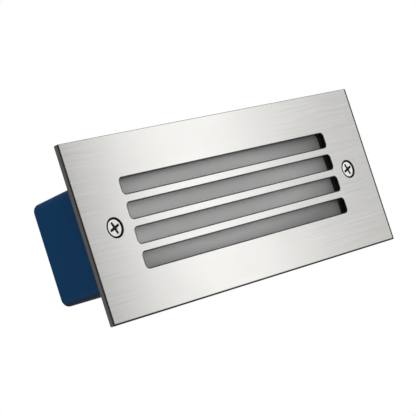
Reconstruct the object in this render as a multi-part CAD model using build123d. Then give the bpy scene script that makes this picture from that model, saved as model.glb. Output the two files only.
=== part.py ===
from build123d import *

import math
import os

# Recessed step light: a slotted stainless faceplate over a frosted lens, on a
# moulded back box that is built into a wall or a stair riser.
#
# Millimetres. X runs along the plate, +Y into the wall, +Z up. The origin is at
# the plate's centre, in the plane of the wall that the plate seals against.

# --- Faceplate ---------------------------------------------------------------
plate_length = 240.0
plate_height = 100.0
plate_thickness = 2.6
plate_corner_radius = 0.8
plate_edge_round = 0.25

slot_count = 4
slot_height = 9.0
slot_pitch = 14.0
slot_corner_radius = 2.2
slot_edge_round = 0.2

# --- Seals behind the plate --------------------------------------------------
wall_seal_thickness = 1.0
wall_seal_width = 8.0
wall_seal_inset = 3.0
rim_gasket_thickness = 1.5
gasket_inset = 0.3

# --- Back box ----------------------------------------------------------------
plate_overhang = 14.5
box_depth = 51.7
box_drop = 1.7
box_wall = 2.0
box_back_wall = 2.6
box_corner_radius = 6.1
box_draft = 1.3
box_back_round = 0.8

# --- Cover screws, countersunk, with a turned-down neck that keeps them captive --
screw_inset = 7.0
screw_radius = 2.5
screw_pitch = 0.8
screw_reach = 17.6
screw_head_radius = 4.7
screw_head_land = 0.3
screw_head_recess = 0.45
screw_neck_radius = 1.9
screw_undercut_radius = 2.4
screw_tip_chamfer = 0.6
screw_turn_out = 8
countersink_radius = 5.7
recess_arm = 3.1
recess_width = 1.3
recess_depth = 2.1
recess_taper = 12.0
recess_angle = 21.0

seal_ring_gap = 0.1
seal_ring_depth = 0.1

retainer_thickness = 0.9
retainer_radius = 4.3
retainer_bore_gap = 0.15
retainer_gap = 0.1

insert_length = 6.0
insert_wall = 0.8
thread_gap = 0.05
insert_gap = 0.02
insert_tip_gap = 0.5
thread_start_gap = 0.6
boss_wall = 1.3
boss_end = 4.5
screw_well = 2.0

# --- Lens and what holds it --------------------------------------------------
window_margin_x = 0.6
window_margin_z = 0.3
frame_front = 1.0
frame_bar = 1.2
frame_end_bar = 7.2
frame_corner_radius = 2.0
frame_box_gap = 0.35
frame_boss_gap = 0.58
lens_seal_thickness = 0.5
lens_thickness = 3.0
lens_lip = 1.9
lens_clearance = 0.3
lens_corner_radius = 1.5
clamp_thickness = 1.2
clamp_height = 40.0
clamp_edge = 0.4

stud_radius = 1.5
stud_spacing = 28.0
stud_clearance = 0.2
stud_tail = 1.0
nut_across_flats = 5.5
nut_thickness = 2.4
nut_bore_gap = 0.05
washer_radius = 2.8
washer_thickness = 0.6

# --- Reflector tray ----------------------------------------------------------
tray_mouth_gap = 0.8
tray_margin_x = 2.1
tray_margin_z = 0.3
tray_sheet = 0.8
tray_flare = 12.7
tray_corner_radius = 5.0

post_length = 18.1
post_radius = 3.5
post_inset = 8.0
post_pilot_depth = 10.0
tray_screw_radius = 1.3
tray_screw_length = 9.0
tray_screw_head = 3.0
tray_screw_gap = 0.36
screw_hole_gap = 0.3
pilot_gap = 0.05

# --- Light source ------------------------------------------------------------
board_end_gap = 8.86
board_screw_gap = 2.0
board_thickness = 1.6
board_corner_radius = 1.0
board_screw_inset_x = 4.0
board_screw_inset_z = 4.0
board_screw_radius = 1.45
board_screw_head = 2.6
pan_head_height = 1.8
pan_head_round = 0.7

chip_margin = 16.0
chip_rows = 2
chip_pitch_x = 11.5
chip_pitch_z = 11.0
chip_length = 3.5
chip_width = 2.8
chip_height = 0.8

connector_length = 7.0
connector_width = 8.0
connector_height = 3.4
connector_inset = 1.0

# --- Driver ------------------------------------------------------------------
driver_length = 72.0
driver_width = 28.0
driver_height = 14.0
driver_round = 1.5
driver_gap = 18.43
ear_length = 7.0
ear_width = 9.0
ear_thickness = 2.0
ear_offset = 8.5

# --- Mains terminals and earth -----------------------------------------------
terminal_length = 16.0
terminal_height = 12.0
terminal_gap = 25.5
pole_count = 3
pole_pitch = 6.0
terminal_margin = 1.2
pole_well_radius = 1.9
pole_screw_radius = 1.7
pole_screw_height = 5.0
pole_screw_sink = 1.0
pole_screw_slot = 0.6

lug_radius = 3.4
lug_thickness = 0.8
lug_gap = 10.5
lug_barrel_radius = 1.5
lug_barrel_length = 4.0
earth_screw_radius = 1.9
earth_drop = 2.0

# --- Leads held inside the box -----------------------------------------------
lead_radius = 0.9
output_lead_spacing = 2.8
lead_height = 5.0
lead_rise = 1.5
lead_end_share = 0.22
live_lead_level = 5.0
live_lead_bulge = 1.5
neutral_lead_level = 0.0
neutral_lead_bulge = 1.0
output_lead_height = 3.2
grommet_radius = 3.2
grommet_lip = 0.7

# --- Conduit entries ---------------------------------------------------------
conduit_radius = 10.75
conduit_throat_radius = 8.5
conduit_socket_depth = 14.0
conduit_hub_wall = 2.8
conduit_hub_proud = 9.0
conduit_stop = 1.8
conduit_setback = 16.1

plug_inset = 19.5
plug_radius = 10.2
plug_gap = 0.1
plug_length = 11.0
plug_sink = 1.0
plug_hub_wall = 2.8
plug_hub_floor = 1.6
plug_socket_flats = 9.0
plug_socket_depth = 6.0

# --- Planes worked out from the sizes above, front to back --------------------
plate_back_y = -wall_seal_thickness
plate_front_y = plate_back_y - plate_thickness
rim_y = plate_back_y + rim_gasket_thickness
box_back_y = rim_y + box_depth
box_floor_y = box_back_y - box_back_wall
frame_back_y = rim_y + frame_front
lens_front_y = frame_back_y + lens_seal_thickness
lens_back_y = lens_front_y + lens_thickness
clamp_back_y = lens_back_y + clamp_thickness
washer_back_y = clamp_back_y + washer_thickness
nut_back_y = washer_back_y + nut_thickness
stud_end_y = nut_back_y + stud_tail
tray_mouth_y = stud_end_y + tray_mouth_gap
tray_back_y = box_floor_y - post_length
tray_floor_y = tray_back_y - tray_sheet
board_front_y = tray_floor_y - board_thickness
terminal_back_y = tray_back_y + terminal_height
conduit_y = box_floor_y - conduit_setback

head_top_y = plate_front_y + screw_head_recess
head_cone_y = head_top_y + screw_head_land
neck_start_y = head_cone_y + screw_head_radius - screw_undercut_radius
screw_tip_y = plate_front_y + screw_reach
screw_travel = screw_turn_out * screw_pitch
insert_end_y = screw_tip_y + insert_tip_gap
insert_start_y = insert_end_y - insert_length
retainer_back_y = rim_y - retainer_gap
retainer_front_y = retainer_back_y - retainer_thickness
thread_start_y = retainer_back_y + screw_travel + thread_start_gap

# --- Lengths along the plate, from its ends inwards ---------------------------
box_length = plate_length - 2 * plate_overhang
screw_x = box_length / 2 - screw_inset
boss_bore_radius = screw_radius + insert_wall + insert_gap
boss_radius = boss_bore_radius + boss_wall
frame_half_length = screw_x - boss_radius - frame_boss_gap
window_half_length = frame_half_length - frame_end_bar
slot_length = 2 * (window_half_length - window_margin_x)
lens_half_length = window_half_length + lens_lip
stud_x = (lens_half_length + lens_clearance + frame_half_length) / 2

# --- Heights, from the slots outwards -----------------------------------------
slots_half_height = ((slot_count - 1) * slot_pitch + slot_height) / 2
window_half_height = slots_half_height + window_margin_z
frame_half_height = window_half_height + frame_bar
lens_half_height = frame_half_height - lens_clearance
box_height = 2 * (frame_half_height + frame_box_gap + box_drop + box_wall)

# --- The tray's flat floor, and what stands on its two sides -------------------
tray_mouth_half_length = window_half_length - tray_margin_x
tray_mouth_half_height = window_half_height - tray_margin_z
tray_run_in = tray_sheet + math.tan(math.radians(tray_flare)) * (tray_floor_y - tray_mouth_y)
floor_half_length = tray_mouth_half_length - tray_run_in
floor_half_height = tray_mouth_half_height - tray_run_in
post_z = floor_half_height - tray_screw_head - tray_screw_gap
board_length = 2 * (floor_half_length - board_end_gap)
board_height = 2 * (post_z - tray_screw_head - board_screw_gap)
post_x = board_length / 2 - post_inset
board_screw_x = board_length / 2 - board_screw_inset_x
board_screw_z = board_height / 2 - board_screw_inset_z
chip_columns = int((board_length - 2 * chip_margin - chip_length) / chip_pitch_x) + 1
grommet_x = -(floor_half_length + board_length / 2) / 2
driver_x = grommet_x + driver_gap + driver_length / 2
lug_x = driver_x + driver_length / 2 + lug_gap
terminal_x = lug_x + terminal_gap
terminal_half_width = pole_count * pole_pitch / 2 + terminal_margin
lead_y = tray_back_y + lead_height
output_lead_y = tray_back_y + output_lead_height
plug_x = plug_inset - box_length / 2


def facing_wall(x, y, z):
    """A plane at a point, whose normal runs into the wall. Its own y points down."""
    return Plane(origin=(x, y, z), x_dir=(1, 0, 0), z_dir=(0, 1, 0))


def slab(length, height, radius, y_start, y_end, x=0.0, z=0.0, draft=0.0):
    """A rounded rectangle carried from one depth to another, drawn in as it goes if drafted."""
    outline = RectangleRounded(length, height, radius)
    return extrude(facing_wall(x, y_start, z) * outline, amount=y_end - y_start, taper=draft)


def rod(radius, y_start, y_end, x=0.0, z=0.0):
    """A round bar, or a bore to cut, that runs into the wall."""
    bar = Cylinder(radius, y_end - y_start, align=(Align.CENTER, Align.CENTER, Align.MIN))
    return facing_wall(x, y_start, z) * bar


def ring(outer_radius, inner_radius, y_start, y_end, x=0.0, z=0.0):
    return rod(outer_radius, y_start, y_end, x, z) - rod(inner_radius, y_start, y_end, x, z)


def turned(profile, x, z):
    """Points of radius and depth, turned about the line through x and z that runs into the wall."""
    half = make_face(Plane.XZ * Polyline(*profile, close=True))
    return facing_wall(x, 0, z) * revolve(half, axis=Axis.Z)


def pan_screw(x, z, seat_y, head_radius, shank_radius, tip_y):
    """A pan-head screw seated at seat_y. It points into the wall if its tip lies deeper, else out of it."""
    way = 1 if tip_y > seat_y else -1
    top = seat_y - way * pan_head_height
    edge = top + way * pan_head_round
    return turned(
        [
            (0, top),
            (head_radius - pan_head_round, top),
            (head_radius, edge),
            (head_radius, seat_y),
            (shank_radius, seat_y),
            (shank_radius, tip_y),
            (0, tip_y),
        ],
        x,
        z,
    )


def group(shapes):
    """Several separate solids of one kind, kept in one node."""
    return Compound([solid for shape in shapes for solid in shape.solids()])


def corners(x, z):
    return [(side * x, level * z) for side in (-1, 1) for level in (-1, 1)]


def slot_levels():
    return [(i - (slot_count - 1) / 2) * slot_pitch for i in range(slot_count)]


# --- Cover: everything that comes away with the plate -------------------------
def faceplate():
    plate = slab(plate_length, plate_height, plate_corner_radius, plate_front_y, plate_back_y)
    for level in slot_levels():
        plate -= slab(
            slot_length, slot_height, slot_corner_radius, plate_front_y, plate_back_y, z=level
        )
    front = plate.faces().sort_by(Axis.Y)[0]
    plate = fillet(front.outer_wire().edges(), plate_edge_round)
    front = plate.faces().sort_by(Axis.Y)[0]
    slot_edges = [edge for wire in front.inner_wires() for edge in wire.edges()]
    plate = fillet(slot_edges, slot_edge_round)
    through = countersink_radius - plate_thickness
    for side in (-1, 1):
        plate -= turned(
            [
                (0, plate_front_y),
                (countersink_radius, plate_front_y),
                (through, plate_back_y),
                (0, plate_back_y),
            ],
            side * screw_x,
            0,
        )
    return plate


def weld_studs():
    places = corners(stud_x, stud_spacing / 2)
    return group([rod(stud_radius, plate_back_y, stud_end_y, x, z) for x, z in places])


def wall_seal():
    outer_length = plate_length - 2 * wall_seal_inset
    outer_height = plate_height - 2 * wall_seal_inset
    seal = slab(outer_length, outer_height, wall_seal_inset, plate_back_y, 0)
    opening_length = outer_length - 2 * wall_seal_width
    opening_height = outer_height - 2 * wall_seal_width
    return seal - slab(opening_length, opening_height, wall_seal_inset, plate_back_y, 0)


def rim_gasket():
    gasket = slab(
        box_length - 2 * gasket_inset,
        box_height - 2 * gasket_inset,
        box_corner_radius - gasket_inset,
        plate_back_y,
        rim_y,
        z=-box_drop,
    )
    gasket -= slab(
        2 * window_half_length,
        2 * window_half_height,
        slot_corner_radius,
        plate_back_y,
        rim_y,
    )
    for x, z in corners(stud_x, stud_spacing / 2):
        gasket -= rod(stud_radius + stud_clearance, plate_back_y, rim_y, x, z)
    for side in (-1, 1):
        hole_radius = retainer_radius + retainer_bore_gap
        gasket -= rod(hole_radius, plate_back_y, rim_y, side * screw_x, 0)
    return gasket


def lens_frame():
    frame = slab(
        2 * frame_half_length,
        2 * frame_half_height,
        frame_corner_radius,
        rim_y,
        lens_back_y,
    )
    pocket_length = 2 * (lens_half_length + lens_clearance)
    pocket = Box(pocket_length, lens_back_y - frame_back_y, 4 * frame_half_height)
    frame -= Pos(0, (frame_back_y + lens_back_y) / 2, 0) * pocket
    frame -= slab(
        2 * window_half_length,
        2 * window_half_height,
        slot_corner_radius,
        rim_y,
        frame_back_y,
    )
    for x, z in corners(stud_x, stud_spacing / 2):
        frame -= rod(stud_radius + stud_clearance, rim_y, lens_back_y, x, z)
    return frame


def lens_seal():
    outer = slab(
        2 * lens_half_length,
        2 * lens_half_height,
        lens_corner_radius,
        frame_back_y,
        lens_front_y,
    )
    return outer - slab(
        2 * window_half_length,
        2 * window_half_height,
        slot_corner_radius,
        frame_back_y,
        lens_front_y,
    )


def lens():
    return slab(
        2 * lens_half_length,
        2 * lens_half_height,
        lens_corner_radius,
        lens_front_y,
        lens_back_y,
    )


def lens_clamps():
    inner_x = window_half_length + clamp_edge
    width = frame_half_length - inner_x
    bars = []
    for side in (-1, 1):
        x = side * (inner_x + width / 2)
        bar = slab(width, clamp_height, clamp_edge, lens_back_y, clamp_back_y, x=x)
        for level in (-1, 1):
            hole_radius = stud_radius + stud_clearance
            z = level * stud_spacing / 2
            bar -= rod(hole_radius, lens_back_y, clamp_back_y, side * stud_x, z)
        bars.append(bar)
    return group(bars)


def clamp_washers():
    bore = stud_radius + stud_clearance
    places = corners(stud_x, stud_spacing / 2)
    return group([ring(washer_radius, bore, clamp_back_y, washer_back_y, x, z) for x, z in places])


def clamp_nuts():
    nuts = []
    for x, z in corners(stud_x, stud_spacing / 2):
        hexagon = RegularPolygon(nut_across_flats / 2, 6, major_radius=False)
        nut = extrude(facing_wall(x, washer_back_y, z) * hexagon, amount=nut_thickness)
        nuts.append(nut - rod(stud_radius + nut_bore_gap, washer_back_y, nut_back_y, x, z))
    return group(nuts)


def screw_retainers():
    bore = screw_neck_radius + retainer_bore_gap
    return group(
        [
            ring(retainer_radius, bore, retainer_front_y, retainer_back_y, side * screw_x, 0)
            for side in (-1, 1)
        ]
    )


# --- Cover screws and the rubber rings round their heads ----------------------
def cover_screw(x):
    thread_radius = screw_radius - thread_gap
    screw = turned(
        [
            (0, head_top_y),
            (screw_head_radius, head_top_y),
            (screw_head_radius, head_cone_y),
            (screw_undercut_radius, neck_start_y),
            (screw_neck_radius, neck_start_y),
            (screw_neck_radius, thread_start_y),
            (thread_radius, thread_start_y + thread_radius - screw_neck_radius),
            (thread_radius, screw_tip_y - screw_tip_chamfer),
            (thread_radius - screw_tip_chamfer, screw_tip_y),
            (0, screw_tip_y),
        ],
        x,
        0,
    )
    cross = Rectangle(2 * recess_arm, recess_width) + Rectangle(recess_width, 2 * recess_arm)
    place = facing_wall(x, head_top_y, 0) * Rot(0, 0, -recess_angle)
    return screw - extrude(place * cross, amount=recess_depth, taper=recess_taper)


def screw_seal(x):
    """A ring whose outside follows the countersink and whose bore sits on the head's land."""
    inner = screw_head_radius + seal_ring_gap
    top_y = plate_front_y + seal_ring_depth
    slack = seal_ring_gap * math.sqrt(2)
    top_radius = countersink_radius - seal_ring_depth - slack
    bottom_y = top_y + top_radius - inner
    return turned([(inner, top_y), (top_radius, top_y), (inner, bottom_y)], x, 0)


# --- Back box and what is fixed in it -----------------------------------------
def end_boss(side):
    """The pillar at one end of the box that carries a cover screw's insert."""
    end_y = insert_end_y + boss_end
    pillar = rod(boss_radius, rim_y, end_y, side * screw_x, 0)
    web_length = box_length / 2 - box_wall / 2 - screw_x
    draft_loss = math.tan(math.radians(box_draft)) * (end_y - rim_y)
    web = Box(web_length - draft_loss, end_y - rim_y, 2 * boss_radius)
    middle_x = screw_x + (web_length - draft_loss) / 2
    return pillar + Pos(side * middle_x, (rim_y + end_y) / 2, 0) * web


def along_x(radius, x_start, x_end):
    """A round bar along X on the line of the end conduit entry."""
    bar = Cylinder(radius, x_end - x_start, align=(Align.CENTER, Align.CENTER, Align.MIN))
    return Pos(x_start, conduit_y, -box_drop) * Rot(0, 90, 0) * bar


def back_box():
    box = slab(
        box_length,
        box_height,
        box_corner_radius,
        rim_y,
        box_back_y,
        z=-box_drop,
        draft=box_draft,
    )
    back = box.faces().sort_by(Axis.Y)[-1]
    box = fillet(back.edges(), box_back_round)
    hub_mouth_x = box_length / 2 + conduit_hub_proud
    hub_stop_x = hub_mouth_x - conduit_socket_depth
    hub_inner_x = hub_stop_x - conduit_stop
    hub = along_x(conduit_radius + conduit_hub_wall, hub_inner_x, hub_mouth_x)
    cavity = slab(
        box_length - 2 * box_wall,
        box_height - 2 * box_wall,
        box_corner_radius - box_wall,
        rim_y,
        box_floor_y,
        z=-box_drop,
        draft=box_draft,
    )
    box = box - cavity + hub
    for side in (-1, 1):
        box += end_boss(side)
        box -= rod(boss_bore_radius, rim_y, insert_end_y, side * screw_x, 0)
        box -= rod(screw_radius, insert_end_y, insert_end_y + screw_well, side * screw_x, 0)
    for x, z in corners(post_x, post_z):
        box += rod(post_radius, tray_back_y, box_floor_y, x, z)
        pilot = tray_screw_radius + pilot_gap
        box -= rod(pilot, tray_back_y, tray_back_y + post_pilot_depth, x, z)
    box -= along_x(conduit_throat_radius, hub_inner_x, hub_mouth_x)
    box -= along_x(conduit_radius, hub_stop_x, hub_mouth_x)
    hole = plug_radius + plug_gap
    hub_front_y = box_back_y - plug_sink - plug_length - plug_hub_floor
    box += rod(hole + plug_hub_wall, hub_front_y, box_floor_y, plug_x, -box_drop)
    box -= rod(hole, hub_front_y + plug_hub_floor, box_back_y, plug_x, -box_drop)
    box -= rod(conduit_throat_radius, hub_front_y, box_back_y, plug_x, -box_drop)
    return box


def thread_inserts():
    outer = screw_radius + insert_wall
    return group(
        [
            ring(outer, screw_radius, insert_start_y, insert_end_y, side * screw_x, 0)
            for side in (-1, 1)
        ]
    )


def conduit_plug():
    """A flush plug with a hexagon socket, which closes the spare entry in the back."""
    outer_y = box_back_y - plug_sink
    plug = rod(plug_radius, outer_y - plug_length, outer_y, plug_x, -box_drop)
    hexagon = RegularPolygon(plug_socket_flats / 2, 6, major_radius=False)
    socket = facing_wall(plug_x, outer_y - plug_socket_depth, -box_drop) * hexagon
    return plug - extrude(socket, amount=plug_socket_depth)


def reflector_tray():
    tray = slab(
        2 * tray_mouth_half_length,
        2 * tray_mouth_half_height,
        tray_corner_radius,
        tray_mouth_y,
        tray_back_y,
        draft=tray_flare,
    )
    tray -= slab(
        2 * (tray_mouth_half_length - tray_sheet),
        2 * (tray_mouth_half_height - tray_sheet),
        tray_corner_radius - tray_sheet,
        tray_mouth_y,
        tray_floor_y,
        draft=tray_flare,
    )
    for x, z in corners(post_x, post_z):
        hole_radius = tray_screw_radius + screw_hole_gap
        tray -= rod(hole_radius, tray_floor_y, tray_back_y, x, z)
    for x, z in corners(board_screw_x, board_screw_z):
        tray -= rod(board_screw_radius + pilot_gap, tray_floor_y, tray_back_y, x, z)
    for x, z in driver_screw_places():
        tray -= rod(board_screw_radius + pilot_gap, tray_floor_y, tray_back_y, x, z)
    tray -= rod(earth_screw_radius + pilot_gap, tray_floor_y, tray_back_y, lug_x, earth_z())
    tray -= rod(grommet_radius, tray_floor_y, tray_back_y, grommet_x, 0)
    return tray


def tray_screws():
    tip_y = tray_back_y + tray_screw_length
    places = corners(post_x, post_z)
    return group(
        [
            pan_screw(x, z, tray_floor_y, tray_screw_head, tray_screw_radius, tip_y)
            for x, z in places
        ]
    )


def led_board():
    board = slab(
        board_length,
        board_height,
        board_corner_radius,
        board_front_y,
        tray_floor_y,
    )
    for x, z in corners(board_screw_x, board_screw_z):
        board -= rod(board_screw_radius + pilot_gap, board_front_y, tray_floor_y, x, z)
    return board


def led_chips():
    chips = []
    for column in range(chip_columns):
        for row in range(chip_rows):
            x = (column - (chip_columns - 1) / 2) * chip_pitch_x
            z = (row - (chip_rows - 1) / 2) * chip_pitch_z
            chip = Box(chip_length, chip_height, chip_width)
            chips.append(Pos(x, board_front_y - chip_height / 2, z) * chip)
    return group(chips)


def board_screws():
    places = corners(board_screw_x, board_screw_z)
    return group(
        [
            pan_screw(x, z, board_front_y, board_screw_head, board_screw_radius, tray_back_y)
            for x, z in places
        ]
    )


def board_connector():
    """The two-pole socket at the board's end that the output leads push into."""
    x = connector_inset - board_length / 2 + connector_length / 2
    y = board_front_y - connector_height / 2
    housing = Pos(x, y, 0) * Box(connector_length, connector_height, connector_width)
    for side in (-1, 1):
        z = side * output_lead_spacing / 2
        mouth = Cylinder(lead_radius + pilot_gap, connector_length)
        place = Pos(x - connector_length + lead_seat(), y, z) * Rot(0, 90, 0)
        housing -= place * mouth
    return housing


def lead_seat():
    """How far an output lead's end goes into the connector."""
    return connector_length / 2


def tray_grommet():
    """The rubber bush that lines the tray's hole where the output leads pass."""
    bush = ring(
        grommet_radius + grommet_lip,
        output_lead_spacing / 2 + lead_radius + pilot_gap,
        tray_floor_y - grommet_lip,
        tray_back_y + grommet_lip,
        grommet_x,
        0,
    )
    groove = ring(
        grommet_radius + 2 * grommet_lip,
        grommet_radius - pilot_gap,
        tray_floor_y - pilot_gap,
        tray_back_y + pilot_gap,
        grommet_x,
        0,
    )
    return bush - groove


def driver_screw_places():
    reach = (driver_length + ear_length) / 2
    return [(driver_x - reach, -ear_offset), (driver_x + reach, ear_offset)]


def driver_case():
    depth = driver_height
    case = Pos(driver_x, tray_back_y + depth / 2, 0) * Box(driver_length, depth, driver_width)
    upright = case.edges().filter_by(Axis.Y)
    case = fillet(upright, driver_round)
    for x, z in driver_screw_places():
        inward = 1 if x < driver_x else -1
        ear = Box(ear_length + driver_round, ear_thickness, ear_width)
        case += Pos(x + inward * driver_round / 2, tray_back_y + ear_thickness / 2, z) * ear
        hole_radius = board_screw_radius + screw_hole_gap
        case -= rod(hole_radius, tray_back_y, tray_back_y + ear_thickness, x, z)
    return case


def driver_screws():
    seat_y = tray_back_y + ear_thickness
    return group(
        [
            pan_screw(x, z, seat_y, board_screw_head, board_screw_radius, tray_floor_y)
            for x, z in driver_screw_places()
        ]
    )


def pole_levels():
    """Heights of the earth, neutral and live poles, lowest first."""
    return [(i - (pole_count - 1) / 2) * pole_pitch for i in range(pole_count)]


def pole_columns():
    """Where each pole's two screws stand, one for each side that a wire comes from."""
    return [terminal_x - terminal_length / 4, terminal_x + terminal_length / 4]


def terminal_block():
    middle_y = (tray_back_y + terminal_back_y) / 2
    block = Pos(terminal_x, middle_y, 0) * Box(
        terminal_length, terminal_height, 2 * terminal_half_width
    )
    well_y = terminal_back_y - pole_screw_sink - pole_screw_height
    for z in pole_levels():
        for x in pole_columns():
            block -= rod(pole_well_radius, well_y, terminal_back_y, x, z)
    for z in pole_levels():
        mouth = Cylinder(lead_radius + pilot_gap, terminal_length / 4)
        for side in (-1, 1):
            x = terminal_x + side * terminal_length * 3 / 8
            block -= Pos(x, lead_y, z) * Rot(0, 90, 0) * mouth
    return block


def terminal_screws():
    top_y = terminal_back_y - pole_screw_sink
    screws = []
    for z in pole_levels():
        for x in pole_columns():
            screw = rod(pole_screw_radius, top_y - pole_screw_height, top_y, x, z)
            groove = Box(2 * pole_screw_radius, pole_screw_slot, pole_screw_slot)
            screws.append(screw - Pos(x, top_y - pole_screw_slot / 2, z) * groove)
    return group(screws)


def earth_z():
    return pole_levels()[0] - earth_drop


def earth_lug():
    """A ring tongue under the earth screw, with a barrel that its lead is crimped in."""
    z = earth_z()
    tongue = rod(lug_radius, tray_back_y, tray_back_y + lug_thickness, lug_x, z)
    barrel_x = lug_x + lug_radius
    barrel_y = tray_back_y + lug_barrel_radius
    barrel = Cylinder(
        lug_barrel_radius, lug_barrel_length, align=(Align.CENTER, Align.CENTER, Align.MIN)
    )
    place = Pos(barrel_x - lug_thickness / 2, barrel_y, z) * Rot(0, 90, 0)
    hole = rod(earth_screw_radius + pilot_gap, tray_back_y, tray_back_y + lug_thickness, lug_x, z)
    mouth_depth = lug_barrel_length - lug_thickness
    mouth = Cylinder(
        lead_radius + pilot_gap, mouth_depth, align=(Align.CENTER, Align.CENTER, Align.MIN)
    )
    mouth_place = Pos(barrel_x + lug_thickness / 2, barrel_y, z) * Rot(0, 90, 0)
    return tongue + place * barrel - hole - mouth_place * mouth


def earth_screw():
    seat_y = tray_back_y + lug_thickness
    return pan_screw(lug_x, earth_z(), seat_y, lug_radius - lug_thickness, earth_screw_radius, tray_floor_y)


# --- Leads: straight runs joined by arcs --------------------------------------
def lead(points):
    """A round lead along points. Each corner's arc takes 0.45 of the shorter run beside it."""
    places = [Vector(*p) for p in points]
    runs = [b - a for a, b in zip(places, places[1:])]
    radii = []
    for before, after in zip(runs, runs[1:]):
        half_turn = math.radians(before.get_angle(after)) / 2
        radii.append(0.45 * min(before.length, after.length) / math.tan(half_turn))
    path = FilletPolyline(*places, radius=radii)
    section = Plane(origin=places[0], z_dir=runs[0]) * Circle(lead_radius)
    tube = sweep(section, path=path)
    expected = math.pi * lead_radius**2 * path.length
    print("lead radii", [round(r, 1) for r in radii], "volume share", round(tube.volume / expected, 4))
    return tube


def input_lead(z_terminal, z_driver, bulge):
    start_x = terminal_x - terminal_length / 2 + terminal_length / 8
    end_x = driver_x + driver_length / 2
    span = start_x - end_x
    driver_y = lead_y + lead_rise
    return lead(
        [
            (start_x, lead_y, z_terminal),
            (start_x - lead_end_share * span, lead_y, z_terminal),
            ((start_x + end_x) / 2, (lead_y + driver_y) / 2 + bulge, (z_terminal + z_driver) / 2),
            (end_x + lead_end_share * span, driver_y, z_driver),
            (end_x, driver_y, z_driver),
        ]
    )


def earth_lead():
    start_x = terminal_x - terminal_length / 2 + terminal_length / 8
    end_x = lug_x + lug_radius + lug_thickness
    barrel_y = tray_back_y + lug_barrel_radius
    span = start_x - end_x
    return lead(
        [
            (start_x, lead_y, pole_levels()[0]),
            (start_x - span / 3, lead_y, pole_levels()[0]),
            (end_x + span / 3, barrel_y, earth_z()),
            (end_x, barrel_y, earth_z()),
        ]
    )


def output_lead(side):
    """From the driver's end, through the grommet, and round into the board's connector."""
    z = side * output_lead_spacing / 2
    start_x = driver_x - driver_length / 2
    end_x = connector_inset - board_length / 2 + lead_seat() - connector_length / 2
    end_y = board_front_y - connector_height / 2
    return lead(
        [
            (start_x, output_lead_y, z),
            (grommet_x, output_lead_y, z),
            (grommet_x, end_y, z),
            (end_x, end_y, z),
        ]
    )


poles = pole_levels()
parts = {
    "faceplate": faceplate(),
    "weld_studs": weld_studs(),
    "wall_seal": wall_seal(),
    "rim_gasket": rim_gasket(),
    "lens_frame": lens_frame(),
    "lens_seal": lens_seal(),
    "lens": lens(),
    "lens_clamps": lens_clamps(),
    "clamp_washers": clamp_washers(),
    "clamp_nuts": clamp_nuts(),
    "screw_retainers": screw_retainers(),
    "left_cover_screw": cover_screw(-screw_x),
    "right_cover_screw": cover_screw(screw_x),
    "left_screw_seal": screw_seal(-screw_x),
    "right_screw_seal": screw_seal(screw_x),
    "back_box": back_box(),
    "thread_inserts": thread_inserts(),
    "conduit_plug": conduit_plug(),
    "reflector_tray": reflector_tray(),
    "tray_screws": tray_screws(),
    "led_board": led_board(),
    "led_chips": led_chips(),
    "board_screws": board_screws(),
    "board_connector": board_connector(),
    "tray_grommet": tray_grommet(),
    "driver_case": driver_case(),
    "driver_screws": driver_screws(),
    "terminal_block": terminal_block(),
    "terminal_screws": terminal_screws(),
    "earth_lug": earth_lug(),
    "earth_screw": earth_screw(),
    "live_lead": input_lead(poles[2], live_lead_level, live_lead_bulge),
    "neutral_lead": input_lead(poles[1], neutral_lead_level, neutral_lead_bulge),
    "earth_lead": earth_lead(),
    "positive_lead": output_lead(1),
    "negative_lead": output_lead(-1),
}

os.makedirs("parts", exist_ok=True)
for node, shape in parts.items():
    export_step(shape, f"parts/{node}.step")
print("cover screw travel", round(screw_travel, 2), "box back", round(box_back_y, 2))
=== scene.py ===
"""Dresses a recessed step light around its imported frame. Metres, +Z up, +Y into the wall."""

from math import pi, radians

import bpy
import numpy as np
from bpy.props import FloatProperty, FloatVectorProperty, IntProperty, PointerProperty
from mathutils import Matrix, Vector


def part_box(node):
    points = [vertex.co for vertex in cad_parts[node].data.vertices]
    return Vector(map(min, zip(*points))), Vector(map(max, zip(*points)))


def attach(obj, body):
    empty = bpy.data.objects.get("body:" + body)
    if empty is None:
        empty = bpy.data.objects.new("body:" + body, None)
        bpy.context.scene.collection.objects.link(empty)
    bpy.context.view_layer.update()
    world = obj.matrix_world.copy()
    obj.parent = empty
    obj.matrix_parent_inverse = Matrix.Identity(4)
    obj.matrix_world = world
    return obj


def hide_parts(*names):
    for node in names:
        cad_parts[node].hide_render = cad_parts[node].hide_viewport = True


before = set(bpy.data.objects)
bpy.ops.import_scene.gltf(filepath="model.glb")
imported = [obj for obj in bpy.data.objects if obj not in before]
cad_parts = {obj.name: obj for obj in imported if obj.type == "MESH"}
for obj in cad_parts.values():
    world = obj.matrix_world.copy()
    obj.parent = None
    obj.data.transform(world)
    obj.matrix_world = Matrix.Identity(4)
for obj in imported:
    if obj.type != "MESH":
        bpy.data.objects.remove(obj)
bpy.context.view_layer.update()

bl_info = {
    "name": "Step Light",
    "version": (1, 0, 0),
    "blender": (4, 5, 0),
    "location": "3D View > Sidebar > Step Light",
    "description":
        "Dresses a recessed step light: brushed faceplate, screws, seals, lens, box and light source",
    "category": "Object",
}

MM = 0.001
TURN = 2 * pi
CREASE = radians(32.0)


# --- Property kinds ---
def length(name, mm, text):
    """A size given in millimetres, kept in metres."""
    return FloatProperty(
        name=name, description=text, default=mm * MM, min=0.0, precision=5, subtype="DISTANCE", unit="LENGTH"
    )


def share(name, value, text, highest=1.0):
    return FloatProperty(name=name, description=text, default=value, min=0.0, max=highest)


def colour(name, value, what):
    text = "Colour of " + what
    return FloatVectorProperty(
        name=name, description=text, default=value, min=0.0, max=1.0, subtype="COLOR", size=3
    )


def pose(name, value, text, subtype, unit):
    return FloatVectorProperty(
        name=name, description=text, default=value, subtype=subtype, unit=unit, size=3
    )


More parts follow.
